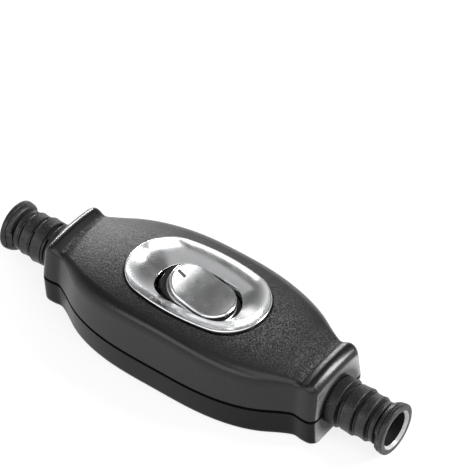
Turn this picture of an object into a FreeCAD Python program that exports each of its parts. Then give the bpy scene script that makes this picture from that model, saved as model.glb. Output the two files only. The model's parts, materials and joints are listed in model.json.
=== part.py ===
"""Inline cord switch: two-shell housing, dished bezel, rocker, double-pole
seesaw contacts, screw terminals, cord clamps and ribbed strain reliefs.

Millimetres. X runs along the cord, Z is up, the origin is the centre of the
underside. Front is the -Y side. The rocker stands with its -X end raised.
"""
import FreeCAD
import Part
import math
import os

V = FreeCAD.Vector
os.makedirs("parts", exist_ok=True)

# Height of the cord above the underside, also the parting plane
AXIS_Z = 8.5
PARTING_GAP = 0.95

# Housing sections: distance from the middle, half width at the parting plane,
# height on the centre line, rounding of the upper edge
STATIONS = (
    (0.0, 19.15, 23.7, 2.6),
    (9.0, 19.1, 23.4, 2.6),
    (17.0, 18.45, 22.6, 2.8),
    (24.0, 16.9, 21.55, 2.9),
    (29.5, 14.65, 20.45, 2.6),
    (33.0, 12.6, 19.65, 2.1),
    (35.3, 11.35, 19.15, 1.6),
    (37.1, 10.75, 18.85, 1.3),
    (38.5, 10.9, 19.25, 1.2),
    (39.7, 11.0, 19.72, 1.2),
    (40.5, 10.98, 19.6, 1.2),
    (41.3, 10.86, 19.15, 1.2),
    (41.95, 10.54, 18.5, 1.2),
    (42.4, 10.1, 17.75, 1.1),
    (42.68, 9.55, 16.9, 1.0),
    (42.8, 8.9, 16.0, 0.9),
)
HOUSING_END = STATIONS[-1][0]
CAVITY_LAST = 6
CAVITY_END = STATIONS[CAVITY_LAST][0]
CROWN_RADIUS = 50.0
SIDE_DRAFT = 1.5
LOWER_DRAFT = 0.4
BOTTOM_ROUNDING = 1.3
BOTTOM_TRIM = 0.05
WALL = 2.0
TONGUE_INSET = 1.1
TONGUE_HEIGHT = 1.2
TONGUE_PLAY = 0.1
SEAT_PLAY = 0.05

# Cord entry and strain relief
ENTRY_RADIUS = 5.4
CAPTURE_RADIUS = 7.2
CAPTURE_PLAY = 0.2
CAPTURE_START = 38.3
CAPTURE_END = 40.5
SLEEVE_START = CAVITY_END + 0.3
SLEEVE_LENGTH = 17.2
END_X = HOUSING_END + SLEEVE_LENGTH
CORD_RADIUS = 3.5
MOUTH_RADIUS = 6.0
MOUTH_DEPTH = 0.9
FUNNEL_RADIUS = 4.5
FUNNEL_DEPTH = 3.0
FLARE_RADIUS = 6.9
FLARE_LENGTH = 2.7

# Ribs of the strain relief: start and end as shares of the ribbed length, radius
RIBS = ((0.007, 0.2, 6.5), (0.303, 0.524, 6.4), (0.6, 0.786, 6.0), (0.855, 0.945, 5.6))
RIB_GROOVE_RADIUS = 4.9
RIB_SOFTENING = 0.25

# Bezel
BEZEL_LENGTH = 20.1
BEZEL_WIDTH = 12.05
BEZEL_END = 0.93
BEZEL_TOP = 22.95
RIM_ROUNDING = 0.3
LEDGE_Z = 20.8
LEDGE = 1.4
BEZEL_SHADOW = 0.45
HOLE_PLAY = 0.15

# Dish of the bezel: distance inwards from the rim, depth below it
DISH = ((0.45, 0.0), (1.4, 0.95), (3.0, 2.0), (5.1, 2.85), (8.0, 3.83))
OPENING_LENGTH = 12.1
OPENING_WIDTH = 6.9
OPENING_END = 0.97
OPENING_ROUNDING = 0.2
BEZEL_BOTTOM = 18.0
SKIRT_WALL = 1.2
FRAME_TOP = 17.4

# Rocker
PIVOT_Z = 14.9
ROCKER_TILT = 14.0
ROCKER_GAP = 0.4
ROCKER_LENGTH = OPENING_LENGTH - ROCKER_GAP
ROCKER_WIDTH = OPENING_WIDTH - ROCKER_GAP
ROCKER_TOP = 4.3
ROCKER_BOTTOM = -0.8
TRUNNION_RADIUS = 1.5
TRUNNION_LENGTH = 1.5
RUNNING_PLAY = 0.05
CAP_LENGTH = ROCKER_LENGTH - 2.6
CAP_WIDTH = ROCKER_WIDTH - 0.6
CAP_DRAFT = 0.3
CAP_MID = 6.1
CAP_HOLLOW_RADIUS = 30.0
CAP_ROUNDING = 0.6
CAP_BEAD = 0.22
CAP_BEAD_HEIGHT = 0.45
CAP_WALL = 1.0
CAP_BOSS_HEIGHT = 0.9
MARK_X = -7.0
MARK_LENGTH = 2.4
MARK_WIDTH = 0.75
MARK_DEPTH = 0.2

# Poles
POLE_Y = 3.8
LEG_RADIUS = 2.3
LEG_BOTTOM = -5.0
PLUNGER_RADIUS = 1.5
PLUNGER_PLAY = 0.08
PLUNGER_HEAD = -3.2
PLUNGER_TIP = -7.45
TIP_RADIUS = 1.0
BORE_TOP = 2.6
SPRING_RADIUS = 1.1
SPRING_WIRE = 0.2
SPRING_TURNS = 6

# Contact lever
FULCRUM_Z = 6.4
FULCRUM_RADIUS = 0.5
LEVER_TILT = 7.5
LEVER_HALF = 8.6
LEVER_WIDTH = 3.6
LEVER_THICK = 1.0
TIP_X = 7.2
MOVING_TIP_RADIUS = 1.2
MOVING_TIP_HEIGHT = 0.7
MOVING_TIP_DOME = 2.5

# Switch frame
FRAME_LENGTH = 13.8
FRAME_CHEEK_IN = ROCKER_WIDTH + 0.4
FRAME_CHEEK = 1.6
CHEEK_LENGTH = 5.5
FRAME_FLOOR = 3.4
FRAME_WALL = 1.2
FRAME_END_TOP = 12.4
BARRIER = 1.0
BARRIER_TOP = 9.2
STOP_TOP = 5.0
EAR_X = 5.0
EAR_RADIUS = 2.6
EAR_Y = FRAME_CHEEK_IN + FRAME_CHEEK + EAR_RADIUS + SEAT_PLAY
EAR_TOP = 4.4
EAR_THICK = 1.2
FRAME_SCREW_RADIUS = 1.1

# Terminals
STRIP_WIDTH = 2.4
STRIP_THICK = 0.8
BLOCK_X = 18.2
BLOCK_LENGTH = 5.6
BLOCK_WIDTH = 5.2
BLOCK_TOP = 9.6
WIRE_RADIUS = 1.5
WIRE_Z = 6.0
FIXED_TIP_RADIUS = 1.2
FIXED_TIP_TOP = 4.68
M3 = 1.5

# Earth link
EARTH_X = 13.2
EARTH_Y = 13.9
EARTH_BLOCK_LENGTH = 5.0
EARTH_BLOCK_WIDTH = 4.4
EARTH_BOTTOM = 3.0
EARTH_BLOCK_TOP = 8.2
EARTH_WIRE_Z = 5.3
EARTH_STRIP_Y = 15.2
EARTH_STRIP_TOP = 7.0

# Fixings
SCREW_X = 23.2
SCREW_Y = 11.2
BOSS_RADIUS = 2.9
HOUSING_SCREW_RADIUS = 1.45
HEAD_RADIUS = 2.5
HEAD_HEIGHT = 1.6
COUNTERBORE = 2.4
SCREW_TOP = 15.0
CLAMP_X = 29.6
CLAMP_Y = 7.5
CLAMP_WIDTH = 4.2
CLAMP_THICK = 1.8
CLAMP_BOSS = 2.3
CLAMP_BOSS_TOP = 7.6
CLAMP_SCREW_RADIUS = 1.25
CLAMP_SCREW_LENGTH = 5.6

# Reach of a cut that passes right through
BIG = 200.0


def box(x0, x1, y0, y1, z0, z1):
    return Part.makeBox(x1 - x0, y1 - y0, z1 - z0, V(x0, y0, z0))


def rod(x, y, z0, z1, radius):
    return Part.makeCylinder(radius, z1 - z0, V(x, y, z0))


def rod_x(x0, x1, y, z, radius):
    return Part.makeCylinder(radius, x1 - x0, V(x0, y, z), V(1, 0, 0))


def rod_y(y0, y1, x, z, radius):
    return Part.makeCylinder(radius, y1 - y0, V(x, y0, z), V(0, 1, 0))


def turned(points, base, axis):
    """Solid turned from (distance along the axis, radius) points."""
    flat = [V(r, 0, d) for d, r in points]
    solid = Part.Face(Part.makePolygon(flat + [flat[0]])).revolve(V(0, 0, 0), V(0, 0, 1), 360)
    solid.Placement = FreeCAD.Placement(base, FreeCAD.Rotation(V(0, 0, 1), axis))
    return solid


def mirrored_x(shape):
    return shape.mirror(V(0, 0, 0), V(1, 0, 0))


def rotated_y(shape, z, degrees):
    turned_shape = shape.copy()
    turned_shape.rotate(V(0, 0, z), V(0, 1, 0), degrees)
    return turned_shape


def oval(length, width, end_ratio, z):
    """Closed four-arc oval; length and width are half sizes."""
    r = width * end_ratio
    c = length - r
    big = (c * c + width * width - r * r) / (2 * (width - r))
    ux, uy = c / (big - r), (big - width) / (big - r)
    tx, ty = big * ux, width - big + big * uy
    arcs = [
        Part.Arc(V(tx, ty, z), V(0, width, z), V(-tx, ty, z)),
        Part.Arc(V(-tx, ty, z), V(-length, 0, z), V(-tx, -ty, z)),
        Part.Arc(V(-tx, -ty, z), V(0, -width, z), V(tx, -ty, z)),
        Part.Arc(V(tx, -ty, z), V(length, 0, z), V(tx, ty, z)),
    ]
    return Part.Wire([arc.toShape() for arc in arcs])


def oval_column(length, width, end_ratio, z0, z1):
    return Part.Face(oval(length, width, end_ratio, z0)).extrude(V(0, 0, z1 - z0))


def stadium(length, width, z):
    """Closed slot outline; length and width are half sizes."""
    c = length - width
    edges = [
        Part.makeLine(V(c, width, z), V(-c, width, z)),
        Part.Arc(V(-c, width, z), V(-length, 0, z), V(-c, -width, z)).toShape(),
        Part.makeLine(V(-c, -width, z), V(c, -width, z)),
        Part.Arc(V(c, -width, z), V(length, 0, z), V(c, width, z)).toShape(),
    ]
    return Part.Wire(edges)


def stadium_column(length, width, z0, z1):
    return Part.Face(stadium(length, width, z0)).extrude(V(0, 0, z1 - z0))


def corner(a, b, c):
    curve = Part.BezierCurve()
    curve.setPoles([a, b, c])
    return curve.toShape()


def section(x, half_width, height, rounding, inset):
    """Closed cross-section of the housing, drawn inwards by inset."""
    w = half_width - inset
    top = height - inset
    z0 = inset if inset > 0 else -BOTTOM_TRIM
    rb = max(BOTTOM_ROUNDING - 0.4 * inset, 0.4)
    rt = max(rounding - 0.4 * inset, 0.4)
    wt = w - SIDE_DRAFT
    wb = w - LOWER_DRAFT
    zt = top - wt * wt / (2 * CROWN_RADIUS)
    yt = wt - rt
    side = V(0, SIDE_DRAFT, -(zt - AXIS_Z))
    side = side * (rt / side.Length)
    a = V(x, wb - rb, z0)
    b = V(x, wb + LOWER_DRAFT * rb / AXIS_Z, z0 + rb)
    c = V(x, w, AXIS_Z)
    d = V(x, wt, zt) + side
    e = V(x, yt, top - yt * yt / (2 * CROWN_RADIUS))

    def m(p):
        return V(p.x, -p.y, p.z)

    edges = [
        Part.makeLine(m(a), a),
        corner(a, V(x, wb, z0), b),
        Part.makeLine(b, c),
        Part.makeLine(c, d),
        corner(d, V(x, wt, zt), e),
        Part.Arc(e, V(x, 0, top), m(e)).toShape(),
        corner(m(e), V(x, -wt, zt), m(d)),
        Part.makeLine(m(d), m(c)),
        Part.makeLine(m(c), m(b)),
        corner(m(b), V(x, -wb, z0), m(a)),
    ]
    return Part.Wire(edges)


def housing_body(inset, stations):
    half = [section(x, *size, inset) for x, *size in stations[1:]]
    left = [section(-x, *size, inset) for x, *size in reversed(stations[1:])]
    middle = section(*stations[0], inset)
    return Part.makeLoft(left + [middle] + half, True, False, False, 5)


def corners4(x, y):
    return [V(sx * x, sy * y, 0) for sx in (-1, 1) for sy in (-1, 1)]


# Housing shells
outer = housing_body(0.0, STATIONS).common(box(-BIG, BIG, -BIG, BIG, 0, BIG))
cavity = housing_body(WALL, STATIONS[:CAVITY_LAST + 1])
tongue_outer = housing_body(TONGUE_INSET, STATIONS[:CAVITY_LAST + 1])
rebate = housing_body(TONGUE_INSET - TONGUE_PLAY, STATIONS[:CAVITY_LAST + 1])

above = box(-BIG, BIG, -BIG, BIG, AXIS_Z + PARTING_GAP / 2, BIG)
below = box(-BIG, BIG, -BIG, BIG, -BIG, AXIS_Z - PARTING_GAP / 2)


def entry_cut(side):
    channel = rod_x(CAVITY_END - WALL, END_X, 0, AXIS_Z, ENTRY_RADIUS)
    groove = rod_x(CAPTURE_START, CAPTURE_END, 0, AXIS_Z, CAPTURE_RADIUS + CAPTURE_PLAY)
    cut = channel.fuse(groove)
    return cut if side > 0 else mirrored_x(cut)


entries = [entry_cut(-1), entry_cut(1)]

upper = outer.common(above).cut(cavity)
tongue_zone = box(-BIG, BIG, -BIG, BIG, 0, AXIS_Z + TONGUE_HEIGHT + TONGUE_PLAY)
upper = upper.cut(rebate.common(tongue_zone))
for p in corners4(SCREW_X, SCREW_Y):
    post = rod(p.x, p.y, AXIS_Z, BIG, BOSS_RADIUS)
    upper = upper.fuse(post.common(tongue_outer))
    upper = upper.cut(rod(p.x, p.y, 0, SCREW_TOP + 0.5, HOUSING_SCREW_RADIUS))
recess = oval_column(BEZEL_LENGTH + BEZEL_SHADOW, BEZEL_WIDTH + BEZEL_SHADOW, BEZEL_END, LEDGE_Z, BIG)
upper = upper.cut(recess)
hole_length = BEZEL_LENGTH - LEDGE + HOLE_PLAY
hole_width = BEZEL_WIDTH - LEDGE + HOLE_PLAY
upper = upper.cut(oval_column(hole_length, hole_width, BEZEL_END, AXIS_Z + 1.5, BIG))
for cut in entries:
    upper = upper.cut(cut)

lower = outer.common(below).cut(cavity)
tongue = tongue_outer.cut(cavity).common(box(-BIG, BIG, -BIG, BIG, 5, AXIS_Z + TONGUE_HEIGHT))
lower = lower.fuse(tongue)
for p in corners4(SCREW_X, SCREW_Y):
    post = rod(p.x, p.y, 0.5, AXIS_Z, BOSS_RADIUS)
    lower = lower.fuse(post)
    lower = lower.cut(rod(p.x, p.y, -1, 20, HOUSING_SCREW_RADIUS + 0.15))
    lower = lower.cut(rod(p.x, p.y, -1, COUNTERBORE, HEAD_RADIUS + 0.25))
for p in corners4(CLAMP_X, CLAMP_Y):
    lower = lower.fuse(rod(p.x, p.y, 1, CLAMP_BOSS_TOP, CLAMP_BOSS))
for side in (-1, 1):
    x = side * CLAMP_X
    for dx in (-1.3, 1.3):
        rib = box(x + dx - 0.6, x + dx + 0.6, -CLAMP_Y, CLAMP_Y, 1.5, AXIS_Z - 1.0)
        lower = lower.fuse(rib.cut(rod_x(x - 5, x + 5, 0, AXIS_Z, CORD_RADIUS)))
for p in corners4(CLAMP_X, CLAMP_Y):
    lower = lower.cut(rod(p.x, p.y, 2.6, 12, CLAMP_SCREW_RADIUS))
for p in corners4(EAR_X, EAR_Y):
    lower = lower.fuse(rod(p.x, p.y, 1.5, EAR_TOP - EAR_THICK, EAR_RADIUS))
    lower = lower.cut(rod(p.x, p.y, 0.9, 6, FRAME_SCREW_RADIUS))
for side in (-1, 1):
    x = side * BLOCK_X
    seat = box(x - 2.0, x + 2.0, -6.6, 6.6, 1.5, FRAME_FLOOR)
    lower = lower.fuse(seat)
    x = side * EARTH_X
    pocket = box(x - 3.3, x + 3.3, EARTH_Y - 3.0, EARTH_Y + 1.9, 1.5, 4.6)
    block = box(x - 2.6, x + 2.6, EARTH_Y - 2.3, EARTH_Y + 4.0, EARTH_BOTTOM, 9.0)
    notch = box(-BIG, BIG, EARTH_STRIP_Y - 0.5, EARTH_STRIP_Y + 0.5, EARTH_BOTTOM, 9.0)
    wire = box(-BIG, BIG, EARTH_Y - WIRE_RADIUS, EARTH_Y + WIRE_RADIUS, EARTH_WIRE_Z - WIRE_RADIUS, 9.0)
    lower = lower.fuse(pocket.cut(block).cut(notch).cut(wire).common(outer))
for cut in entries:
    lower = lower.cut(cut)


parts = {"upper_shell": upper, "lower_shell": lower}

# Bezel: rim on the ledge of the upper shell, dished floor, slot for the rocker
rim = oval_column(BEZEL_LENGTH, BEZEL_WIDTH, BEZEL_END, LEDGE_Z, BEZEL_TOP)
rim = rim.makeFillet(RIM_ROUNDING, [e for e in rim.Edges if e.BoundBox.ZMin > BEZEL_TOP - 0.01])
tub = oval_column(BEZEL_LENGTH - LEDGE, BEZEL_WIDTH - LEDGE, BEZEL_END, BEZEL_BOTTOM, LEDGE_Z + 0.5)
skirt = stadium_column(OPENING_LENGTH + SKIRT_WALL, OPENING_WIDTH + SKIRT_WALL, FRAME_TOP, BEZEL_BOTTOM + 0.5)
dish_rings = [oval(BEZEL_LENGTH - inset, BEZEL_WIDTH - inset, BEZEL_END, BEZEL_TOP - depth)
              for inset, depth in DISH]
dish = Part.makeLoft(dish_rings, True, False, False, 3)
bezel = rim.fuse(tub).fuse(skirt).cut(dish)
bezel = bezel.cut(oval_column(OPENING_LENGTH, OPENING_WIDTH, OPENING_END, FRAME_TOP - 1, BEZEL_TOP))
reach = OPENING_WIDTH + 0.1
lip = [e for e in bezel.Edges if e.BoundBox.YMax < reach and e.BoundBox.YMin > -reach
       and e.BoundBox.ZMin > BEZEL_BOTTOM + 0.5 and e.BoundBox.DiagonalLength > 2]
bezel = bezel.makeFillet(OPENING_ROUNDING, lip)
parts["bezel"] = bezel.removeSplitter()

# Rocker, drawn upright about its pivot, then tilted
column = stadium_column(ROCKER_LENGTH, ROCKER_WIDTH, -PIVOT_Z, PIVOT_Z)
envelope = column.common(rotated_y(column, 0, ROCKER_TILT)).common(rotated_y(column, 0, -ROCKER_TILT))
drum = envelope.common(box(-BIG, BIG, -BIG, BIG, ROCKER_BOTTOM, ROCKER_TOP))
drum = drum.cut(box(-9.6, 9.6, -5.3, 5.3, ROCKER_BOTTOM - 1, ROCKER_TOP - 1.4))
web = box(-1.0, 1.0, -POLE_Y, POLE_Y, -3.4, ROCKER_TOP - 1)
rocker = drum.fuse(web)
for side in (-1, 1):
    rocker = rocker.fuse(rod(0, side * POLE_Y, LEG_BOTTOM, ROCKER_TOP - 1, LEG_RADIUS))
    trunnion = rod_y(-TRUNNION_LENGTH / 2, TRUNNION_LENGTH / 2 + 1, 0, 0, TRUNNION_RADIUS)
    rocker = rocker.fuse(trunnion.translate(V(0, side * (ROCKER_WIDTH + 0.4) - 0.5, 0)))
for side in (-1, 1):
    bore = rod(0, side * POLE_Y, LEG_BOTTOM - 1, BORE_TOP, PLUNGER_RADIUS + PLUNGER_PLAY)
    rocker = rocker.cut(bore)
boss_length = CAP_LENGTH - CAP_WALL
boss_width = CAP_WIDTH - CAP_WALL
boss = stadium_column(boss_length, boss_width, ROCKER_TOP - 0.3, ROCKER_TOP + CAP_BOSS_HEIGHT)
rocker = rocker.fuse(boss).removeSplitter()

foot = CAP_LENGTH + CAP_DRAFT
foot_width = CAP_WIDTH + CAP_DRAFT
crown = CAP_MID + CAP_LENGTH ** 2 / (2 * CAP_HOLLOW_RADIUS)
cap_rings = [stadium(foot, foot_width, ROCKER_TOP), stadium(CAP_LENGTH, CAP_WIDTH, crown + 1.0)]
cap = Part.makeLoft(cap_rings, True, True)
hollow = rod_y(-10, 10, 0, CAP_MID + CAP_HOLLOW_RADIUS, CAP_HOLLOW_RADIUS)
cap = cap.cut(hollow)
rim_edges = [e for e in cap.Edges if e.BoundBox.ZMin > CAP_MID - 0.05]
cap = cap.makeFillet(CAP_ROUNDING, rim_edges)
bead = stadium_column(foot + CAP_BEAD, foot_width + CAP_BEAD, ROCKER_TOP, ROCKER_TOP + CAP_BEAD_HEIGHT)
bead = bead.makeFillet(0.15, [e for e in bead.Edges if e.BoundBox.ZMin > ROCKER_TOP + CAP_BEAD_HEIGHT - 0.01])
cap = cap.fuse(bead)
cap = cap.cut(stadium_column(boss_length, boss_width, 0, ROCKER_TOP + CAP_BOSS_HEIGHT))
mark_z = CAP_MID + MARK_X ** 2 / (2 * CAP_HOLLOW_RADIUS) - MARK_DEPTH
mark_tilt = math.degrees(math.asin(MARK_X / CAP_HOLLOW_RADIUS))
mark = box(-MARK_LENGTH / 2, MARK_LENGTH / 2, -MARK_WIDTH / 2, MARK_WIDTH / 2, 0, 2)
mark.rotate(V(0, 0, 0), V(0, 1, 0), -mark_tilt)
mark.translate(V(MARK_X, 0, mark_z))
cap = cap.cut(mark)


def tilted(shape):
    shape = shape.copy()
    shape.translate(V(0, 0, PIVOT_Z))
    return rotated_y(shape, PIVOT_Z, ROCKER_TILT)


parts["rocker_body"] = tilted(rocker)
parts["rocker_cap"] = tilted(cap)

# Switch frame
f_out = FRAME_CHEEK_IN + FRAME_CHEEK
f_base = WALL + SEAT_PLAY
frame = box(-FRAME_LENGTH, FRAME_LENGTH, -f_out, f_out, f_base, FRAME_END_TOP)
frame = frame.fuse(box(-CHEEK_LENGTH, CHEEK_LENGTH, -f_out, f_out, f_base, FRAME_TOP))
inside = FRAME_LENGTH - FRAME_WALL
frame = frame.cut(box(-inside, inside, -FRAME_CHEEK_IN, FRAME_CHEEK_IN, FRAME_FLOOR, BIG))
long_barrier = BLOCK_X + BLOCK_LENGTH / 2 + 0.6
frame = frame.fuse(box(-long_barrier, long_barrier, -BARRIER / 2, BARRIER / 2, FRAME_FLOOR, BARRIER_TOP))
for p in corners4(EAR_X, EAR_Y):
    ear = rod(p.x, p.y, EAR_TOP - EAR_THICK, EAR_TOP, EAR_RADIUS)
    y0, y1 = sorted((math.copysign(f_out - 0.2, p.y), p.y))
    ear = ear.fuse(box(p.x - EAR_RADIUS, p.x + EAR_RADIUS, y0, y1, EAR_TOP - EAR_THICK, EAR_TOP))
    frame = frame.fuse(ear).cut(rod(p.x, p.y, 0, 8, FRAME_SCREW_RADIUS + 0.2))
half_strip = STRIP_WIDTH / 2
for side in (-1, 1):
    y = side * POLE_Y
    slot = box(-BIG, BIG, y - half_strip, y + half_strip, FRAME_FLOOR, FRAME_FLOOR + STRIP_THICK)
    frame = frame.cut(slot)
    for dy in (-1, 1):
        y0, y1 = sorted((y + dy * (half_strip + 0.15), y + dy * (LEVER_WIDTH / 2 + 0.3)))
        frame = frame.fuse(box(-LEVER_HALF, -LEVER_HALF + 1.2, y0, y1, FRAME_FLOOR - 0.2, STOP_TOP))
frame = frame.cut(rod_y(-12, 12, 0, PIVOT_Z, TRUNNION_RADIUS + RUNNING_PLAY))
parts["switch_frame"] = frame.removeSplitter()


def screw(radius, length, head_radius, head_height, slot_width):
    """Cheese-head screw pointing down, underside of the head at z = 0."""
    body = rod(0, 0, -length, 0.2, radius).fuse(rod(0, 0, 0, head_height, head_radius))
    half = slot_width / 2
    slot = box(-head_radius, head_radius, -half, half, head_height * 0.45, head_height + 1)
    tip = [e for e in body.Edges if e.BoundBox.ZMax < -length + 0.01]
    return body.makeChamfer(radius * 0.3, tip).cut(slot)


def placed(shape, x, y, z, turn=0.0, flip=False):
    shape = shape.copy()
    if flip:
        shape.rotate(V(0, 0, 0), V(1, 0, 0), 180)
    shape.rotate(V(0, 0, 0), V(0, 0, 1), turn)
    shape.translate(V(x, y, z))
    return shape


def names(side):
    return "front" if side < 0 else "rear"


# Contacts, one set per pole
terminal_screws = []
fixed_tips = []
for side in (-1, 1):
    y = side * POLE_Y
    strip_top = FRAME_FLOOR + STRIP_THICK
    for end, start in ((-1, 1.2), (1, TIP_X - FIXED_TIP_RADIUS - 0.4)):
        x = end * BLOCK_X
        x0, x1 = sorted((x, -start if end > 0 else start))
        if end > 0:
            x0 = start
        strip = box(x0, x1, y - half_strip, y + half_strip, FRAME_FLOOR, strip_top)
        block = box(x - BLOCK_LENGTH / 2, x + BLOCK_LENGTH / 2, y - BLOCK_WIDTH / 2, y + BLOCK_WIDTH / 2,
                    FRAME_FLOOR, BLOCK_TOP)
        block = block.makeChamfer(0.3, [e for e in block.Edges if e.BoundBox.ZLength > 2])
        terminal = strip.fuse(block)
        terminal = terminal.cut(rod_x(x - 4, x + 4, y, WIRE_Z, WIRE_RADIUS))
        terminal = terminal.cut(rod(x, y, WIRE_Z, BLOCK_TOP + 1, M3))
        if end < 0:
            r = FULCRUM_RADIUS
            post = box(-r, r, y - half_strip, y + half_strip, strip_top - 0.2, FULCRUM_Z)
            terminal = terminal.fuse(post)
            terminal = terminal.fuse(rod_y(y - half_strip, y + half_strip, 0, FULCRUM_Z, FULCRUM_RADIUS))
            parts["line_terminal_" + names(side)] = terminal.removeSplitter()
        else:
            parts["load_terminal_" + names(side)] = terminal.removeSplitter()
            fixed_tips.append(rod(TIP_X, y, strip_top, FIXED_TIP_TOP, FIXED_TIP_RADIUS))
        turn = 35 * side + 20 * end
        terminal_screws.append(placed(screw(M3, 2.6, 2.4, 1.7, 0.7), x, y, BLOCK_TOP, turn))

    lever = box(-LEVER_HALF, LEVER_HALF, y - LEVER_WIDTH / 2, y + LEVER_WIDTH / 2, 0, LEVER_THICK)
    lever = lever.makeFillet(0.5, [e for e in lever.Edges if e.BoundBox.ZLength > 0.5])
    lever = lever.cut(rod_y(y - 3, y + 3, 0, 0, FULCRUM_RADIUS + RUNNING_PLAY))
    ball = Part.makeSphere(MOVING_TIP_DOME, V(TIP_X, y, MOVING_TIP_DOME - MOVING_TIP_HEIGHT))
    tip = rod(TIP_X, y, -MOVING_TIP_HEIGHT, 0, MOVING_TIP_RADIUS).common(ball)
    for name, shape in (("contact_lever_", lever), ("moving_tip_", tip)):
        shape.translate(V(0, 0, FULCRUM_Z))
        parts[name + names(side)] = rotated_y(shape, FULCRUM_Z, -LEVER_TILT)

    plunger = turned([(PLUNGER_HEAD, 0), (PLUNGER_HEAD, PLUNGER_RADIUS), (PLUNGER_TIP + 2.0, PLUNGER_RADIUS),
                      (PLUNGER_TIP + 1.2, TIP_RADIUS), (PLUNGER_TIP + 0.9, TIP_RADIUS),
                      (PLUNGER_TIP + 0.9, 0)], V(0, y, 0), V(0, 0, 1))
    nose = Part.makeSphere(TIP_RADIUS, V(0, y, PLUNGER_TIP + TIP_RADIUS))
    plunger = plunger.fuse(nose)
    helix_length = BORE_TOP - PLUNGER_HEAD - 2 * SPRING_WIRE
    pitch = helix_length / SPRING_TURNS
    helix = Part.makeHelix(pitch, helix_length, SPRING_RADIUS)
    wire_profile = Part.Wire(Part.makeCircle(SPRING_WIRE, V(SPRING_RADIUS, 0, 0), V(0, 1, 0)))
    coil = Part.Wire(helix).makePipeShell([wire_profile], True, True)
    coil.translate(V(0, y, PLUNGER_HEAD + SPRING_WIRE))
    parts["plunger_" + names(side)] = tilted(plunger.removeSplitter())
    parts["plunger_spring_" + names(side)] = tilted(coil)

parts["terminal_screws"] = Part.makeCompound(terminal_screws)
parts["fixed_tips"] = Part.makeCompound(fixed_tips)

# Earth link beside the frame
earth = box(-EARTH_X, EARTH_X, EARTH_STRIP_Y - 0.4, EARTH_STRIP_Y + 0.4, EARTH_BOTTOM, EARTH_STRIP_TOP)
earth_screws = []
for side in (-1, 1):
    x = side * EARTH_X
    block = box(x - EARTH_BLOCK_LENGTH / 2, x + EARTH_BLOCK_LENGTH / 2, EARTH_Y - EARTH_BLOCK_WIDTH / 2,
                EARTH_Y + EARTH_BLOCK_WIDTH / 2, EARTH_BOTTOM, EARTH_BLOCK_TOP)
    block = block.makeChamfer(0.3, [e for e in block.Edges if e.BoundBox.ZLength > 2])
    earth = earth.fuse(block)
for side in (-1, 1):
    x = side * EARTH_X
    earth = earth.cut(rod_x(x - 4, x + 4, EARTH_Y, EARTH_WIRE_Z, WIRE_RADIUS))
    earth = earth.cut(rod(x, EARTH_Y, EARTH_WIRE_Z, 12, M3))
    earth_screws.append(placed(screw(M3, 2.2, 2.1, 1.6, 0.7), x, EARTH_Y, EARTH_BLOCK_TOP, 50 * side))
parts["earth_link"] = earth.removeSplitter()
parts["earth_screws"] = Part.makeCompound(earth_screws)

# Cord clamps
clamp_screws = []
for side in (-1, 1):
    x = side * CLAMP_X
    half = CLAMP_WIDTH / 2
    ear = CLAMP_Y + CLAMP_BOSS
    bar = box(x - half, x + half, -ear, ear, CLAMP_BOSS_TOP, CLAMP_BOSS_TOP + CLAMP_THICK)
    arch = rod_x(x - half, x + half, 0, AXIS_Z, CORD_RADIUS + CLAMP_THICK)
    arch = arch.common(box(-BIG, BIG, -BIG, BIG, CLAMP_BOSS_TOP, BIG))
    clamp = bar.fuse(arch).cut(rod_x(x - 9, x + 9, 0, AXIS_Z, CORD_RADIUS))
    for y in (-CLAMP_Y, CLAMP_Y):
        clamp = clamp.cut(rod(x, y, 0, BIG, CLAMP_SCREW_RADIUS + 0.2))
        clamp_screws.append(placed(screw(CLAMP_SCREW_RADIUS, CLAMP_SCREW_LENGTH, 2.0, 1.5, 0.6),
                                   x, y, CLAMP_BOSS_TOP + CLAMP_THICK, 25 * side + 3 * y))
    parts["cord_clamp_" + ("left" if side < 0 else "right")] = clamp.removeSplitter()
parts["clamp_screws"] = Part.makeCompound(clamp_screws)

# Strain reliefs
fit = ENTRY_RADIUS - SEAT_PLAY
profile = [(SLEEVE_START, CORD_RADIUS), (SLEEVE_START, fit - 0.5), (SLEEVE_START + 0.5, fit),
           (CAPTURE_START + 0.2, fit), (CAPTURE_START + 0.2, CAPTURE_RADIUS),
           (CAPTURE_END - SEAT_PLAY, CAPTURE_RADIUS), (CAPTURE_END - SEAT_PLAY, fit), (HOUSING_END, fit)]
ribbed = SLEEVE_LENGTH - FLARE_LENGTH
for first, last, radius in RIBS:
    start = HOUSING_END + first * ribbed
    stop = HOUSING_END + last * ribbed
    profile += [(start, profile[-1][1]), (start, radius - RIB_SOFTENING), (start + RIB_SOFTENING, radius),
                (stop - RIB_SOFTENING, radius), (stop, radius - RIB_SOFTENING), (stop, RIB_GROOVE_RADIUS)]
flare = END_X - FLARE_LENGTH
profile += [(flare, RIB_GROOVE_RADIUS + 0.3), (flare + 0.26 * FLARE_LENGTH, FLARE_RADIUS - 1.3),
            (flare + 0.48 * FLARE_LENGTH, FLARE_RADIUS - 0.45), (flare + 0.67 * FLARE_LENGTH, FLARE_RADIUS),
            (flare + 0.81 * FLARE_LENGTH, FLARE_RADIUS - 0.05), (END_X, FLARE_RADIUS - 0.6),
            (END_X, MOUTH_RADIUS), (END_X - MOUTH_DEPTH, FUNNEL_RADIUS), (END_X - FUNNEL_DEPTH, CORD_RADIUS)]
sleeve = turned(profile, V(0, 0, AXIS_Z), V(1, 0, 0))
parts["strain_relief_right"] = sleeve
parts["strain_relief_left"] = mirrored_x(sleeve)

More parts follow.
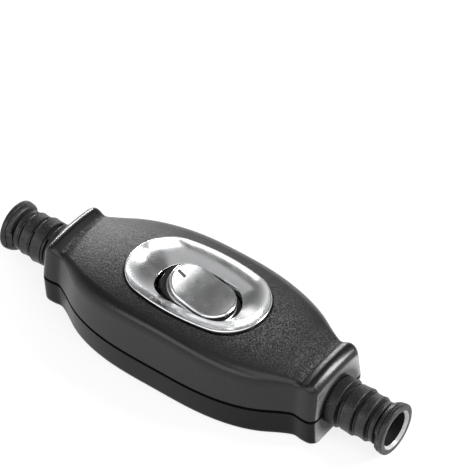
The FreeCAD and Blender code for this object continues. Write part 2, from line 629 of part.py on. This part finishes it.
# Screws that hold the frame and close the housing
parts["frame_screws"] = Part.makeCompound(
    [placed(screw(FRAME_SCREW_RADIUS, 3.2, 2.0, 1.4, 0.5), p.x, p.y, EAR_TOP, 12 * p.x + 5 * p.y)
     for p in corners4(EAR_X, EAR_Y)])
parts["housing_screws"] = Part.makeCompound(
    [placed(screw(HOUSING_SCREW_RADIUS, SCREW_TOP - COUNTERBORE, HEAD_RADIUS, HEAD_HEIGHT, 0.8), p.x, p.y,
            COUNTERBORE, 3 * p.x + p.y, True) for p in corners4(SCREW_X, SCREW_Y)])

for name, shape in parts.items():
    shape.exportStep("parts/%s.step" % name)
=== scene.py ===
"""Inline cord switch: finish, strain reliefs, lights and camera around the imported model.

Metres, in the frame of the model: X along the cord, Z up, front is -Y.
"""
import json
import math

import bpy
from mathutils import Matrix, Vector, noise


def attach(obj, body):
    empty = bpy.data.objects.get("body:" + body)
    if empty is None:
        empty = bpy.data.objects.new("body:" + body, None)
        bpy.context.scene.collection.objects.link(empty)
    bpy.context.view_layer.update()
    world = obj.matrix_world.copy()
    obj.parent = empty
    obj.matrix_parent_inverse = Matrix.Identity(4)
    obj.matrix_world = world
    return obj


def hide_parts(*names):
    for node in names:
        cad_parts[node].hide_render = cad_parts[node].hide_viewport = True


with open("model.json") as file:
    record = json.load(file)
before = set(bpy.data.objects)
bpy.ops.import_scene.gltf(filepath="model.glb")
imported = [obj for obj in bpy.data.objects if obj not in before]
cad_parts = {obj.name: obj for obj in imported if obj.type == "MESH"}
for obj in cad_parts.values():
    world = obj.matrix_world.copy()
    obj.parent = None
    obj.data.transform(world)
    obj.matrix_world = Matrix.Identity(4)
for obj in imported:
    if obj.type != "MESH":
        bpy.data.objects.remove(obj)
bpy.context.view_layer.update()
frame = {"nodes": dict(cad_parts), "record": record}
MM = 0.001

# Camera that matches the photograph, found by fitting the outline
CAMERA_AZIMUTH = 37.236
CAMERA_ELEVATION = 44.807
CAMERA_ROLL = -0.662
CAMERA_DISTANCE = 0.6551
CAMERA_ASIDE = -0.00904
CAMERA_UP = -0.02161
CAMERA_TARGET_Z = 0.00923
CAMERA_NEAR = 0.01
FOCAL_PIXELS = 2609.0
PHOTO_PIXELS = 470
SENSOR_MM = 36.0

# Shell finish: where each mask fades in, as a part of a normal, in metres, or as a level of noise
FACES_UP = (0.9, 0.965)
NEARLY_LEVEL = (0.955, 0.988)
ABOVE_WALLS = (0.0155, 0.016)
COLLAR_FROM = (0.0389, 0.0395)
NECK_FROM = (0.0364, 0.0374)
FACES_ALONG = (0.9, 0.98)
# Painted shade: the pale end sheen fades back to black within this reach of the cord's axis
SHADE_NEAR_RELIEF = (0.0078, 0.0108)
SPECK_LEVELS = (0.48, 0.6)
SHELL_BLACK = (0.006, 0.006, 0.0062)
# Painted glints: light grey for specks in the grain where the top lies level
SPECK_GLINT_GREY = (0.105, 0.105, 0.106)
# Painted sheen on the end faces: pale grey and nearly metallic
END_SHEEN_GREY = (0.44, 0.44, 0.446)
END_SHEEN_METALLIC = 0.85
GRAIN_ROUGHNESS = 0.16
NECK_ROUGHNESS = 0.36
COLLAR_ROUGHNESS = -0.06

# Grain of bare metal: how much finer it is along each axis
BRUSHED = (1.0, 8.0, 1.0)
TURNED = (1.0, 1.0, 9.0)
EVEN = (1.0, 1.0, 1.0)

# Strain relief, millimetres from the middle of the switch
AXIS_Z = 8.5
HOUSING_END = 42.8
TURN_STEPS = 180

# Part inside the housing, with the collar that the shells grip: x, radius
ROOT = ((35.6, 3.5), (35.6, 4.85), (36.1, 5.35), (38.5, 5.35), (38.52, 7.2), (40.43, 7.2), (40.45, 5.35),
        (42.6, 5.35))

# Ribs: start, end, radius at the start, radius at the end
RIBS = ((42.9, 45.7, 6.4, 6.5), (47.2, 50.4, 6.2, 6.4), (51.5, 54.2, 5.85, 6.05), (55.2, 56.5, 5.5, 5.65))

# Foot of a rib: x from its start, radius against its own
RIB_FOOT = ((0.0, -0.1), (0.04, -0.02), (0.12, 0.0))

# Crest of a rib: it swells towards the far end, whose edge is rounded
RISE_START = 0.12
RISE_TRIM = 0.2
RISE_FALL = 0.04
RISE_STEPS = 8
RIB_ROUNDING = 0.3
ROUNDING_STEPS = 5

# Grooves: the near half is open, and a strip fills the far half
GROOVE_RADIUS = 4.3
GROOVE_LIP = 0.3
GROOVE_START = 0.08
GROOVE_RISE = 0.05
STRIP_DROP = 0.5
STRIP_TOP_RADIUS = 5.15
LAST_STRIP_RADIUS = 4.6

# Start of a strip: x from its start, radius against its own
STRIP_START = ((0.0, -0.2), (0.06, -0.03), (0.14, 0.0))

# End of a strip: x from the next rib, radius against its own at the sides, and at top and bottom
STRIP_END = ((-0.2, 0.05, 0.1), (-0.15, -0.05, 0.1), (-0.1, -0.6, 0.1), (-0.03, -0.6, 0.1))

# Flare, mouth and bore: x, radius at the sides, radius at top and bottom
FLARE = ((57.05, 5.05, 5.6), (57.1, 5.2, 6.1), (57.2, 5.27, 6.25), (57.5, 5.42, 6.42), (57.9, 5.7, 6.62),
         (58.2, 5.95, 6.74), (58.32, 6.05, 6.76), (58.37, 6.03, 6.7), (58.4, 5.75, 6.3), (58.5, 5.75, 6.3),
         (58.54, 6.15, 6.72), (58.62, 6.27, 6.8), (58.9, 6.58, 6.86), (59.2, 6.8, 6.9), (59.5, 6.88, 6.9),
         (59.75, 6.86, 6.86), (59.9, 6.76, 6.76), (59.97, 6.62, 6.62), (60.0, 6.45, 6.45), (60.0, 5.4, 5.4),
         (59.98, 5.3, 5.3), (59.92, 5.2, 5.2), (59.8, 5.12, 5.12), (59.5, 4.9, 4.9), (59.25, 4.65, 4.65),
         (58.9, 4.5, 4.5), (58.5, 4.35, 4.35), (58.0, 4.1, 4.1), (57.4, 3.75, 3.75), (57.0, 3.5, 3.5),
         (54.0, 3.5, 3.5), (48.0, 3.5, 3.5), (42.0, 3.5, 3.5))
FLARE_FROM = 57.0
MOUTH_FROM = 58.4
# Painted light: flare rows past the mouth within this radius get the pale lip finish
LIT_WITHIN = 5.35
# Painted shade: flare rows within this radius get the near-black bore finish
SHADED_WITHIN = 4.7

# Sectors at top and bottom: half angle and softness of the edge, degrees
RIB_SECTOR = (34.0, 5.0)
FLARE_SECTOR = (70.0, 20.0)

# Slight waviness of the moulded skin: its height, and its pace along and round the relief
WAVE_HEIGHT = 0.035
WAVE_SINK = 0.02
WAVE_ALONG = 0.5
WAVE_ROUND = 2.4
WAVE_SHIFT = 9.0

# Mark on the cap, millimetres, drawn upright about the rocker's pivot
PIVOT_Z = 14.9
ROCKER_TILT = 14.0
CAP_MID = 6.1
CAP_HOLLOW_RADIUS = 30.0
MARK_X = -7.0
MARK_LENGTH = 2.4
MARK_WIDTH = 0.75
MARK_DEPTH = 0.2
MARK_STEPS = 32
MARK_CORNERS = 0.25
PAINT_SPREAD = 0.09
PAINT_PLAY = 0.02
PAINT_FLOOR = 0.002

# Rounded top of the paint: inset, height above the cap
PAINT_CROWN = ((0.0, 0.03), (0.03, 0.045), (0.09, 0.05))

# Faces that meet at more than this many degrees keep a hard edge
SHARP_ANGLE = 32.0

# Sky, from the horizon and below to straight up: height of the direction, brightness
SKY = ((0.0, 1.0), (0.2, 0.85), (0.42, 0.42), (0.62, 0.2), (1.0, 0.12))

# Soft boxes: name, direction, distance, width and height in metres, radiance
SOFT_BOXES = (
    ("back_left", (-0.81, 0.56, 0.13), 1.0, (0.36, 0.1), 30.0),
    ("left", (-0.62, 0.55, 0.52), 1.0, (0.5, 0.35), 0.95),
    ("back_right", (0.65, 0.53, 0.55), 1.0, (0.26, 0.5), 22.0),
    ("back", (0.39, 0.54, 0.745), 1.0, (0.3, 0.28), 1.7),
    ("back_low", (-0.4, 0.9, 0.1), 1.2, (0.6, 0.18), 1.4),
    ("front_left", (-0.2, -0.87, 0.46), 1.0, (1.1, 0.36), 2.2),
    ("front_right", (0.5, -0.36, 0.78), 1.0, (1.1, 0.8), 1.5),
    ("ceiling", (-0.15, -0.2, 0.97), 1.3, (1.2, 1.0), 0.33),
)

# Watts for each square metre of a soft box at radiance 1, and the height that the boxes face
WATTS_PER_AREA = 4.0
BOX_TARGET_Z = 0.012

# Floor: its size and its tone for light, and for what the camera or a reflection sees
FLOOR_SIZE = 4
FLOOR_TONE = 0.82
SEEN_FLOOR_TONE = 0.28
SEEN_FLOOR_GLOW = 0.76


def set_camera():
    """Camera of the photograph: turned by its own roll and aimed a little past the switch."""
    angles = (CAMERA_AZIMUTH, CAMERA_ELEVATION, CAMERA_ROLL)
    a, e, roll = (math.radians(v) for v in angles)
    back = Vector((math.sin(a) * math.cos(e), -math.cos(a) * math.cos(e), math.sin(e)))
    level = Vector((math.cos(a), math.sin(a), 0))
    upright = back.cross(level)
    right = math.cos(roll) * level + math.sin(roll) * upright
    up = math.cos(roll) * upright - math.sin(roll) * level
    place = Vector((0, 0, CAMERA_TARGET_Z)) + back * CAMERA_DISTANCE
    place = place - right * CAMERA_ASIDE - up * CAMERA_UP
    data = bpy.data.cameras.new("camera")
    data.lens = FOCAL_PIXELS * SENSOR_MM / PHOTO_PIXELS
    data.sensor_width = SENSOR_MM
    data.clip_start = CAMERA_NEAR
    camera = bpy.data.objects.new("camera", data)
    axes = Matrix((right, up, back)).transposed().to_4x4()
    camera.matrix_world = Matrix.Translation(place) @ axes
    bpy.context.scene.collection.objects.link(camera)
    bpy.context.scene.camera = camera


class Finish:
    """Procedural material: tone and roughness drift, grain as bump."""

    def __init__(self, name, color, rough, metal=0.0):
        self.mat = bpy.data.materials.new(name)
        self.mat.use_nodes = True
        self.tree = self.mat.node_tree
        self.shader = self.tree.nodes["Principled BSDF"]
        self.shader.inputs["Metallic"].default_value = metal
        self.color = color
        self.rough = rough
        self.coord = self.node("ShaderNodeTexCoord").outputs["Object"]
        self.bumps = None

    def node(self, kind, **values):
        made = self.tree.nodes.new(kind)
        for key, value in values.items():
            setattr(made, key, value)
        return made

    def link(self, a, b):
        self.tree.links.new(a, b)

    def specular(self, level):
        self.shader.inputs["Specular IOR Level"].default_value = level

    def noise(self, size_mm, detail=3.0, stretch=None, roughness=0.5):
        coord = self.coord
        if stretch:
            mapping = self.node("ShaderNodeMapping")
            mapping.inputs["Scale"].default_value = stretch
            self.link(coord, mapping.inputs["Vector"])
            coord = mapping.outputs["Vector"]
        tex = self.node("ShaderNodeTexNoise")
        tex.inputs["Scale"].default_value = 1.0 / (size_mm * MM)
        tex.inputs["Detail"].default_value = detail
        tex.inputs["Roughness"].default_value = roughness
        self.link(coord, tex.inputs["Vector"])
        return tex.outputs["Fac"]

    def cells(self, size_mm, smoothness):
        tex = self.node("ShaderNodeTexVoronoi", feature="SMOOTH_F1")
        tex.inputs["Scale"].default_value = 1.0 / (size_mm * MM)
        tex.inputs["Smoothness"].default_value = smoothness
        self.link(self.coord, tex.inputs["Vector"])
        return tex.outputs["Distance"]

    def axes(self, source):
        parts = self.node("ShaderNodeSeparateXYZ")
        self.link(source, parts.inputs["Vector"])
        return parts.outputs

    def span(self, source, low, high, start=0.3, stop=0.7):
        """Take start..stop of the source, by default the usual reach of noise, to low..high."""
        made = self.node("ShaderNodeMapRange")
        for key, value in (("From Min", start), ("From Max", stop), ("To Min", low), ("To Max", high)):
            made.inputs[key].default_value = value
        self.link(source, made.inputs["Value"])
        return made.outputs["Result"]

    def mask(self, source, limits):
        """0 below the lower limit, 1 above the upper one."""
        return self.span(source, 0.0, 1.0, *limits)

    def math(self, operation, *terms):
        made = self.node("ShaderNodeMath", operation=operation)
        for i, term in enumerate(terms):
            if isinstance(term, (int, float)):
                made.inputs[i].default_value = term
            else:
                self.link(term, made.inputs[i])
        return made.outputs["Value"]

    def tone(self, source, spread, other=None):
        """Vary the base color about its own value, or towards another color."""
        mix = self.node("ShaderNodeMix", data_type="RGBA")
        second = other or [min(c * (1 + spread), 1) for c in self.color]
        mix.inputs["A"].default_value = (*[c * (1 - spread) for c in self.color], 1)
        mix.inputs["B"].default_value = (*second, 1)
        self.link(source, mix.inputs["Factor"])
        self.link(mix.outputs["Result"], self.shader.inputs["Base Color"])

    def overlay(self, source, color):
        """Blend the base color towards another one where the source is high."""
        socket = self.shader.inputs["Base Color"]
        under = socket.links[0].from_socket
        mix = self.node("ShaderNodeMix", data_type="RGBA")
        mix.inputs["B"].default_value = (*color, 1)
        self.link(under, mix.inputs["A"])
        self.link(source, mix.inputs["Factor"])
        self.link(mix.outputs["Result"], socket)

    def shine(self, source, spread, smoothest=0.02):
        """Vary the roughness about its own value."""
        low, high = max(self.rough - spread, smoothest), self.rough + spread
        self.link(self.span(source, low, high), self.shader.inputs["Roughness"])

    def bump(self, height, depth_mm, strength=1.0):
        made = self.node("ShaderNodeBump")
        made.inputs["Distance"].default_value = depth_mm * MM
        if isinstance(strength, (int, float)):
            made.inputs["Strength"].default_value = strength
        else:
            self.link(strength, made.inputs["Strength"])
        self.link(height, made.inputs["Height"])
        if self.bumps:
            self.link(self.bumps, made.inputs["Normal"])
        self.bumps = made.outputs["Normal"]
        self.link(self.bumps, self.shader.inputs["Normal"])

    def edges(self):
        return self.node("ShaderNodeNewGeometry").outputs["Pointiness"]


def shell_finish(name, specular):
    """Black moulded plastic: spark-eroded grain on the top, smooth satin sides, end faces painted with a
    pale metallic sheen that fades to painted shade near the relief.
    """
    f = Finish(name, SHELL_BLACK, rough=0.3)
    f.specular(specular)
    normal = f.axes(f.node("ShaderNodeTexCoord").outputs["Normal"])
    place = f.axes(f.coord)
    along = f.math("ABSOLUTE", place["X"])
    outer = f.math("MULTIPLY", f.mask(normal["Z"], FACES_UP), f.mask(place["Z"], ABOVE_WALLS))
    top = f.math("MULTIPLY", outer, f.span(along, 1.0, 0.0, *COLLAR_FROM))
    f.tone(f.noise(size_mm=6.0, detail=4.0), spread=0.2)

    # Painted glints: specks of the grain painted light grey where the top lies level, standing in for light
    # caught by the grain
    specks = f.mask(f.noise(size_mm=0.34, detail=2.0, roughness=0.6), SPECK_LEVELS)
    specks = f.math("MULTIPLY", specks, f.mask(normal["Z"], NEARLY_LEVEL))
    f.overlay(f.math("MULTIPLY", top, specks), SPECK_GLINT_GREY)

    # Painted sheen: end faces painted pale grey and nearly metallic, patchy at random, with painted shade
    # where they come near the relief
    end_sheen = f.mask(f.math("ABSOLUTE", normal["X"]), FACES_ALONG)
    rise = f.math("SUBTRACT", place["Z"], AXIS_Z * MM)
    squares = (f.math("MULTIPLY", rise, rise), f.math("MULTIPLY", place["Y"], place["Y"]))
    reach = f.math("SQRT", f.math("ADD", *squares))
    end_sheen = f.math("MULTIPLY", end_sheen, f.mask(reach, SHADE_NEAR_RELIEF))
    sheen_patches = f.span(f.noise(size_mm=0.5, detail=4.0), low=0.7, high=1.0)
    f.overlay(f.math("MULTIPLY", end_sheen, sheen_patches), END_SHEEN_GREY)
    f.link(f.math("MULTIPLY", end_sheen, END_SHEEN_METALLIC), f.shader.inputs["Metallic"])

    dull = f.span(along, GRAIN_ROUGHNESS, NECK_ROUGHNESS, *NECK_FROM)
    rough = f.span(f.noise(size_mm=9.0, detail=4.0), low=0.25, high=0.3)
    rough = f.math("ADD", rough, f.math("MULTIPLY", top, dull))
    rough = f.math("ADD", rough, f.span(along, 0.0, COLLAR_ROUGHNESS, *COLLAR_FROM))
    rough = f.math("ADD", rough, f.span(f.noise(size_mm=0.5), low=-0.025, high=0.025))
    f.link(rough, f.shader.inputs["Roughness"])

    pits = f.cells(size_mm=0.5, smoothness=0.6)
    f.bump(pits, depth_mm=0.08, strength=f.math("MULTIPLY", top, 0.9))
    grain = f.noise(size_mm=0.36, detail=2.0, roughness=0.6)
    f.bump(grain, depth_mm=0.08, strength=f.math("ADD", f.math("MULTIPLY", top, 0.85), 0.015))
    f.bump(f.noise(size_mm=14.0, detail=2.0), depth_mm=0.05, strength=0.2)
    return f.mat


def chrome_finish(name, rough):
    """Bright plating over plastic: slight haze and soft waves."""
    f = Finish(name, (0.74, 0.745, 0.755), rough, metal=1.0)
    f.tone(f.noise(size_mm=3.5, detail=4.0), spread=0.04)
    f.shine(f.noise(size_mm=2.2, detail=3.0), spread=0.045)
    f.bump(f.noise(size_mm=5.0, detail=1.0), depth_mm=0.012, strength=0.35)
    return f.mat


def plastic_finish(name, color, rough, grain=0.35, depth=0.006, specular=0.5):
    """Moulded plastic with a light mould texture and flow marks."""
    f = Finish(name, color, rough)
    f.specular(specular)
    f.tone(f.noise(size_mm=2.5, detail=5.0), spread=0.14)
    f.shine(f.noise(size_mm=1.6, detail=4.0), spread=0.06)
    f.bump(f.noise(size_mm=grain), depth_mm=depth, strength=0.6)
    flow = f.noise(size_mm=6.0, detail=2.0, stretch=(0.3, 1.0, 1.0))
    f.bump(flow, depth_mm=0.02, strength=0.3)
    return f.mat


def rubber_finish():
    """Soft black rubber: dull, speckled, painted paler on the ridges as a painted highlight, fine mould
    grain.
    """
    f = Finish("relief_rubber", (0.006, 0.006, 0.0062), rough=0.42)
    f.specular(0.42)
    # Painted highlight: the ridges are painted a paler grey, in patches
    ridge_highlight = f.mask(f.edges(), (0.5, 0.56))
    highlight_patches = f.span(f.noise(size_mm=0.7, detail=5.0), low=0.3, high=1.0)
    f.tone(f.math("MULTIPLY", ridge_highlight, highlight_patches), spread=0.0, other=(0.045, 0.045, 0.046))
    specks = f.span(f.noise(size_mm=0.45), low=0.0, high=0.8, start=0.52, stop=0.66)
    f.overlay(specks, (0.034, 0.034, 0.035))
    f.shine(f.noise(size_mm=1.1, detail=5.0), spread=0.07)
    f.bump(f.noise(size_mm=0.45), depth_mm=0.09, strength=0.8)
    f.bump(f.noise(size_mm=2.4), depth_mm=0.05, strength=0.35)
    return f.mat


def lit_lip_finish():
    """Trimmed inner edge of the mouth: smoother than the moulded skin, and painted pale grey as painted
    light on its lit wall.
    """
    f = Finish("relief_lip", (0.36, 0.36, 0.364), rough=0.25)
    f.tone(f.noise(size_mm=0.8, detail=5.0), spread=0.3)
    f.shine(f.noise(size_mm=0.6, detail=4.0), spread=0.08)
    f.bump(f.noise(size_mm=0.25), depth_mm=0.01, strength=0.4)
    return f.mat


def metal_finish(name, color, rough, stretch=BRUSHED, depth=0.004):
    """Bare metal: brushed, turned or plain, and tarnished in patches."""
    f = Finish(name, color, rough, metal=1.0)
    f.tone(f.noise(size_mm=1.8, detail=6.0), spread=0.13)
    f.shine(f.noise(size_mm=1.0, detail=5.0), spread=0.09)
    f.bump(f.noise(size_mm=0.4, detail=4.0, stretch=stretch), depth_mm=depth, strength=0.7)
    return f.mat


def ink_finish():
    """Black paint with a slightly grainy surface."""
    f = Finish("mark_ink", (0.012, 0.012, 0.013), rough=0.45)
    f.tone(f.noise(size_mm=0.3, detail=4.0), spread=0.25)
    f.shine(f.noise(size_mm=0.2, detail=4.0), spread=0.1)
    f.bump(f.noise(size_mm=0.12), depth_mm=0.01, strength=0.5)
    return f.mat


finishes = {
    "shell": shell_finish("shell", specular=0.36),
    # Painted shade: the lower shell is a copy of the shell finish with lower specular, darker as if shaded
    # by the floor
    "lower_shell": shell_finish("lower_shell", specular=0.1),
    "bezel_plating": chrome_finish("bezel_plating", rough=0.21),
    "cap_plating": chrome_finish("cap_plating", rough=0.24),
    "rocker_plastic": plastic_finish("rocker_plastic", (0.018, 0.018, 0.019), rough=0.3),
    "frame_plastic": plastic_finish("frame_plastic", (0.05, 0.05, 0.052), rough=0.45),
    "clamp_plastic": plastic_finish("clamp_plastic", (0.045, 0.045, 0.047), 0.5, grain=0.5, depth=0.012),
    "plunger_plastic": plastic_finish("plunger_plastic", (0.72, 0.7, 0.64), rough=0.35),
    "relief_rubber": rubber_finish(),
    "relief_lip": lit_lip_finish(),
    # Painted shade: the bore is near black with little specular
    "relief_bore": plastic_finish("relief_bore", (0.003, 0.003, 0.003), rough=0.7, specular=0.1),
    "contact_brass": metal_finish("contact_brass", (0.72, 0.52, 0.22), rough=0.3),
    "contact_silver": metal_finish("contact_silver", (0.8, 0.79, 0.76), 0.28, stretch=EVEN, depth=0.008),
    "screw_steel": metal_finish("screw_steel", (0.56, 0.56, 0.57), rough=0.34, stretch=TURNED),
    "spring_steel": metal_finish("spring_steel", (0.62, 0.62, 0.63), 0.22, stretch=EVEN, depth=0.003),
}
slots = {part["node"]: part["material_slot"] for part in frame["record"]["subparts"]}
for name, node in frame["nodes"].items():
    node.data.materials.clear()
    node.data.materials.append(finishes[name if name in finishes else slots[name]])


def smooth_mesh(name, points, faces, material):
    """Smooth-shaded piece from points in millimetres."""
    mesh = bpy.data.meshes.new(name)
    mesh.from_pydata([tuple(c * MM for c in p) for p in points], [], faces)
    mesh.materials.append(material)
    mesh.polygons.foreach_set("use_smooth", [True] * len(mesh.polygons))
    mesh.set_sharp_from_angle(angle=math.radians(SHARP_ANGLE))
    piece = bpy.data.objects.new(name, mesh)
    bpy.context.scene.collection.objects.link(piece)
    return piece


def ring_faces(row, next_row, steps):
    """Quads between two closed rows of points."""
    faces = []
    for k in range(steps):
        m = (k + 1) % steps
        faces.append((row * steps + k, row * steps + m, next_row * steps + m, next_row * steps + k))
    return faces


def rib_rows(start, stop, low, high):
    """One rib: a step up, a crest that swells towards its end, a rounded edge."""
    rows = [(start + x, low + r) for x, r in RIB_FOOT]
    length = stop - RIB_ROUNDING - RISE_TRIM - start
    for k in range(1, RISE_STEPS + 1):
        t = k / RISE_STEPS
        rows.append((start + RISE_START + length * t, low + (high - RISE_FALL - low) * t * t))
    for k in range(ROUNDING_STEPS + 1):
        turn = math.radians(90 * k / ROUNDING_STEPS)
        x = stop - RIB_ROUNDING * (1 - math.sin(turn))
        rows.append((x, high - RIB_ROUNDING * (1 - math.cos(turn))))
    return [(x, r, r) for x, r in rows]


def groove_rows(stop, following, high):
    """Groove after a rib: open in its near half, with a strip in its far half."""
    last = following > FLARE_FROM
    side = LAST_STRIP_RADIUS if last else high - STRIP_DROP
    top = LAST_STRIP_RADIUS if last else STRIP_TOP_RADIUS
    gap = following - stop
    middle = stop + 0.5 * gap
    rows = [(stop + GROOVE_START, GROOVE_RADIUS + GROOVE_LIP), (stop + 0.25 * gap, GROOVE_RADIUS),
            (middle - GROOVE_RISE, GROOVE_RADIUS + GROOVE_RISE)]
    rows = [(x, r, r) for x, r in rows]
    rows += [(middle + x, side + r, top + r) for x, r in STRIP_START]
    rows += [(following + x, side + r_side, top + r_top) for x, r_side, r_top in STRIP_END]
    return rows


def relief_profile():
    """Outline of the strain relief: (x, radius at the sides, radius in the top and bottom sectors).

    The second value that it returns is the row where the flare starts.
    """
    rows = [(x, r, r) for x, r in ROOT]
    end_sheen = [start for start, *_ in RIBS[1:]] + [FLARE[0][0]]
    for (start, stop, low, high), following in zip(RIBS, end_sheen):
        rows += rib_rows(start, stop, low, high)
        rows += groove_rows(stop, following, high)
    return rows + list(FLARE), len(rows)


def eased(x):
    """Smooth step from 0 to 1."""
    x = min(max(x, 0.0), 1.0)
    return x * x * (3 - 2 * x)


def relief(name, side, node):
    """Strain relief at one end: the profile turned about the cord, with wavy skin outside the housing."""
    rows, flare_start = relief_profile()
    points = []
    for x, r_side, r_top in rows:
        sector, soft = FLARE_SECTOR if x > FLARE_FROM else RIB_SECTOR
        for k in range(TURN_STEPS):
            turn = 2 * math.pi * k / TURN_STEPS
            c, s = math.cos(turn), math.sin(turn)
            from_top = math.degrees(math.acos(min(abs(c), 1.0)))
            r = r_side + (r_top - r_side) * eased((sector - from_top) / soft + 0.5)
            if x > HOUSING_END and r > GROOVE_RADIUS + GROOVE_LIP:
                spot = Vector((x * WAVE_ALONG, c * WAVE_ROUND, s * WAVE_ROUND + WAVE_SHIFT * side))
                r += WAVE_HEIGHT * noise.noise(spot) - WAVE_SINK
            points.append((side * x, side * r * s, AXIS_Z + r * c))
    faces = []
    for i in range(len(rows)):
        faces += ring_faces(i, (i + 1) % len(rows), TURN_STEPS)
    piece = smooth_mesh(name, points, faces, finishes["relief_rubber"])
    piece.data.materials.append(finishes["relief_lip"])
    piece.data.materials.append(finishes["relief_bore"])
    lit_lip_index, shaded_bore_index = 1, 2
    # Painted shade in the bore
    for i, (x, r_side, _) in enumerate(rows):
        if i > flare_start and r_side < SHADED_WITHIN:
            index = shaded_bore_index
        # Painted light on the mouth's lip
        elif i > flare_start and r_side < LIT_WITHIN and x > MOUTH_FROM:
            index = lit_lip_index
        else:
            continue
        for k in range(TURN_STEPS):
            piece.data.polygons[i * TURN_STEPS + k].material_index = index
    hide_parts(node)
    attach(piece, "housing")


relief("ribbed_relief_right", 1, "strain_relief_right")
relief("ribbed_relief_left", -1, "strain_relief_left")


def mark_ring(length, width, z):
    """Closed row round the stroke, a rectangle with rounded corners."""
    ring = []
    for k in range(MARK_STEPS):
        turn = 2 * math.pi * (k + 0.5) / MARK_STEPS
        c, s = math.cos(turn), math.sin(turn)
        x = math.copysign(abs(c) ** MARK_CORNERS, c) * length
        y = math.copysign(abs(s) ** MARK_CORNERS, s) * width
        ring.append((x, y, z))
    return ring


def mark_ink():
    """Paint that fills the engraved stroke on the raised end of the cap and rounds over its edge."""
    lean = -math.asin(MARK_X / CAP_HOLLOW_RADIUS)
    base_z = CAP_MID + MARK_X ** 2 / (2 * CAP_HOLLOW_RADIUS) - MARK_DEPTH
    tilt = math.radians(ROCKER_TILT)
    length, width = MARK_LENGTH / 2 + PAINT_SPREAD, MARK_WIDTH / 2 + PAINT_SPREAD
    levels = [(PAINT_SPREAD + PAINT_PLAY, PAINT_FLOOR), (PAINT_SPREAD + PAINT_PLAY, MARK_DEPTH - PAINT_PLAY),
              (0.0, MARK_DEPTH - PAINT_PLAY)]
    levels += [(inset, MARK_DEPTH + height) for inset, height in PAINT_CROWN]
    points = []
    for inset, level in levels:
        for x, y, z in mark_ring(length - inset, width - inset, level):
            x, z = x * math.cos(lean) + z * math.sin(lean), z * math.cos(lean) - x * math.sin(lean)
            x, z = x + MARK_X, z + base_z
            across = x * math.cos(tilt) + z * math.sin(tilt)
            points.append((across, y, PIVOT_Z + z * math.cos(tilt) - x * math.sin(tilt)))
    last = (len(levels) - 1) * MARK_STEPS
    faces = [tuple(reversed(range(MARK_STEPS))), tuple(range(last, last + MARK_STEPS))]
    for i in range(len(levels) - 1):
        faces += ring_faces(i, i + 1, MARK_STEPS)
    piece = smooth_mesh("mark_ink", points, faces, ink_finish())
    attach(piece, "rocker")


mark_ink()


def set_sky():
    """World light that depends on the height alone: bright below and at the horizon, dim above."""
    world = bpy.data.worlds.new("world")
    bpy.context.scene.world = world
    world.use_nodes = True
    tree = world.node_tree
    height = tree.nodes.new("ShaderNodeSeparateXYZ")
    direction = tree.nodes.new("ShaderNodeTexCoord").outputs["Generated"]
    tree.links.new(direction, height.inputs["Vector"])
    ramp = tree.nodes.new("ShaderNodeValToRGB")
    tree.links.new(height.outputs["Z"], ramp.inputs["Fac"])
    stops = ramp.color_ramp.elements
    while len(stops) < len(SKY):
        stops.new(0.5)
    for stop, (place, value) in zip(stops, SKY):
        stop.position = place
        stop.color = (value, value, value, 1)
    tree.links.new(ramp.outputs["Color"], tree.nodes["Background"].inputs["Color"])


def softbox(name, direction, distance, size, radiance):
    """Area light in a direction from the switch, facing it."""
    data = bpy.data.lights.new(name, "AREA")
    data.shape = "RECTANGLE"
    data.size, data.size_y = size
    data.energy = radiance * WATTS_PER_AREA * size[0] * size[1]
    lamp = bpy.data.objects.new(name, data)
    toward = Vector(direction).normalized()
    lamp.location = toward * distance + Vector((0, 0, BOX_TARGET_Z))
    lamp.rotation_euler = (-toward).to_track_quat("-Z", "Y").to_euler()
    bpy.context.scene.collection.objects.link(lamp)


def floor_finish():
    """Pale paper, near white where the camera or a reflection sees it, so that only the shadow shows."""
    mat = bpy.data.materials.new("floor")
    mat.use_nodes = True
    nodes, links = mat.node_tree.nodes, mat.node_tree.links
    nodes.clear()
    rays = nodes.new("ShaderNodeLightPath")
    seen = nodes.new("ShaderNodeMath")
    seen.operation = "MAXIMUM"
    links.new(rays.outputs["Is Camera Ray"], seen.inputs[0])
    mirrored = nodes.new("ShaderNodeMath")
    mirrored.operation = "MAXIMUM"
    links.new(rays.outputs["Is Glossy Ray"], mirrored.inputs[0])
    links.new(rays.outputs["Is Transmission Ray"], mirrored.inputs[1])
    links.new(mirrored.outputs["Value"], seen.inputs[1])
    paper = nodes.new("ShaderNodeBsdfDiffuse")
    paper.inputs["Color"].default_value = (FLOOR_TONE, FLOOR_TONE, FLOOR_TONE, 1)
    pale = nodes.new("ShaderNodeBsdfDiffuse")
    pale.inputs["Color"].default_value = (SEEN_FLOOR_TONE, SEEN_FLOOR_TONE, SEEN_FLOOR_TONE, 1)
    glow = nodes.new("ShaderNodeEmission")
    glow.inputs["Strength"].default_value = SEEN_FLOOR_GLOW
    both = nodes.new("ShaderNodeAddShader")
    links.new(pale.outputs["BSDF"], both.inputs[0])
    links.new(glow.outputs["Emission"], both.inputs[1])
    mix = nodes.new("ShaderNodeMixShader")
    links.new(seen.outputs["Value"], mix.inputs["Fac"])
    links.new(paper.outputs["BSDF"], mix.inputs[1])
    links.new(both.outputs["Shader"], mix.inputs[2])
    links.new(mix.outputs["Shader"], nodes.new("ShaderNodeOutputMaterial").inputs["Surface"])
    return mat


# Studio: pale floor, dim sky with a bright horizon, soft boxes
set_camera()
set_sky()
for box in SOFT_BOXES:
    softbox(*box)
bpy.context.scene.view_settings.view_transform = "Standard"
bpy.ops.mesh.primitive_plane_add(size=FLOOR_SIZE)
floor = bpy.context.object
floor.name = "floor"
floor.data.materials.append(floor_finish())
